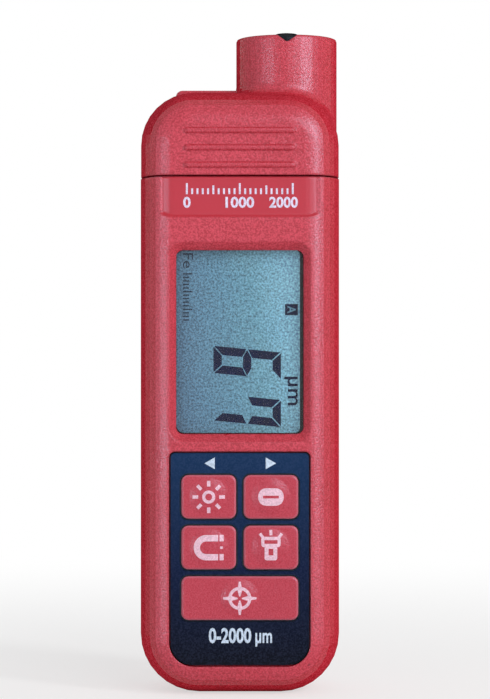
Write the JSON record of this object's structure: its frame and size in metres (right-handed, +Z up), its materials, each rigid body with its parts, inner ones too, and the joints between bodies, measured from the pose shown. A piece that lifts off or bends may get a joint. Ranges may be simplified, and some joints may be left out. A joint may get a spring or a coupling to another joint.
{
  "type": "coating thickness gauge",
  "caption": "Pocket coating thickness gauge: a rounded upright case with a ribbed head, a sprung probe in a notched round sleeve, a screen, domed keys and a battery cover.",
  "frame": {"origin": "on the standing surface, under the middle of the case", "axes": "+Z up along the case towards the probe sleeve, -Y out of the front face with the screen and keys, +X to the right seen from the front"},
  "size_m": [0.035, 0.0258, 0.117],
  "materials": {
    "case_red": "satin moulded grain",
    "key_red": "satin",
    "overlay_navy": "satin film",
    "black_plastic": "satin",
    "clear_window": "clear, gloss",
    "lcd_grey": "smooth",
    "white_diffuser": "matte",
    "board_green": "lacquered",
    "spring_steel": "plated",
    "copper_wire": "enamelled winding",
    "cell_wrapper": "printed film, plain"
  },
  "bodies": {
    "case": {"front_shell": "case_red", "head_cover": "case_red", "rear_shell": "case_red", "display_window": "clear_window", "lcd_glass": "lcd_grey", "backlight": "white_diffuser", "lcd_frame": "black_plastic", "keypad_overlay": "overlay_navy", "circuit_board": "board_green", "main_chip": "black_plastic", "buzzer": "black_plastic", "probe_holder": "black_plastic", "probe_spring": "spring_steel", "torch_lens": "clear_window", "torch_led": "white_diffuser", "switch_brightness": "spring_steel", "switch_zero": "spring_steel", "switch_magnet": "spring_steel", "switch_torch": "spring_steel", "switch_target": "spring_steel", "battery_1": "cell_wrapper", "battery_contact_1": "spring_steel", "battery_spring_1": "spring_steel", "battery_2": "cell_wrapper", "battery_contact_2": "spring_steel", "battery_spring_2": "spring_steel", "case_screw_1": "spring_steel", "case_screw_2": "spring_steel", "case_screw_3": "spring_steel", "case_screw_4": "spring_steel"},
    "brightness_key": {"key_brightness": "key_red"},
    "zero_key": {"key_zero": "key_red"},
    "magnet_key": {"key_magnet": "key_red"},
    "torch_key": {"key_torch": "key_red"},
    "target_key": {"key_target": "key_red"},
    "probe": {"probe_tip": "black_plastic", "probe_core": "spring_steel", "probe_coil": "copper_wire"},
    "cover": {"battery_cover": "case_red"}
  },
  "joints": [
    {"name": "brightness_press", "type": "slide", "parent": "case", "child": "brightness_key", "axis": [0, 1, 0], "range_m": [0, 0.0004], "stiffness_N_per_m": 600},
    {"name": "zero_press", "type": "slide", "parent": "case", "child": "zero_key", "axis": [0, 1, 0], "range_m": [0, 0.0004], "stiffness_N_per_m": 600},
    {"name": "magnet_press", "type": "slide", "parent": "case", "child": "magnet_key", "axis": [0, 1, 0], "range_m": [0, 0.0004], "stiffness_N_per_m": 600},
    {"name": "torch_press", "type": "slide", "parent": "case", "child": "torch_key", "axis": [0, 1, 0], "range_m": [0, 0.0004], "stiffness_N_per_m": 600},
    {"name": "target_press", "type": "slide", "parent": "case", "child": "target_key", "axis": [0, 1, 0], "range_m": [0, 0.0004], "stiffness_N_per_m": 600},
    {"name": "probe_press", "type": "slide", "parent": "case", "child": "probe", "axis": [0, 0, -1], "range_m": [0, 0.0015], "stiffness_N_per_m": 250, "deforming": ["probe_spring"]},
    {"name": "cover_off", "type": "slide", "parent": "case", "child": "cover", "axis": [0, 1, 0], "range_m": [0, 0.02]}
  ]
}
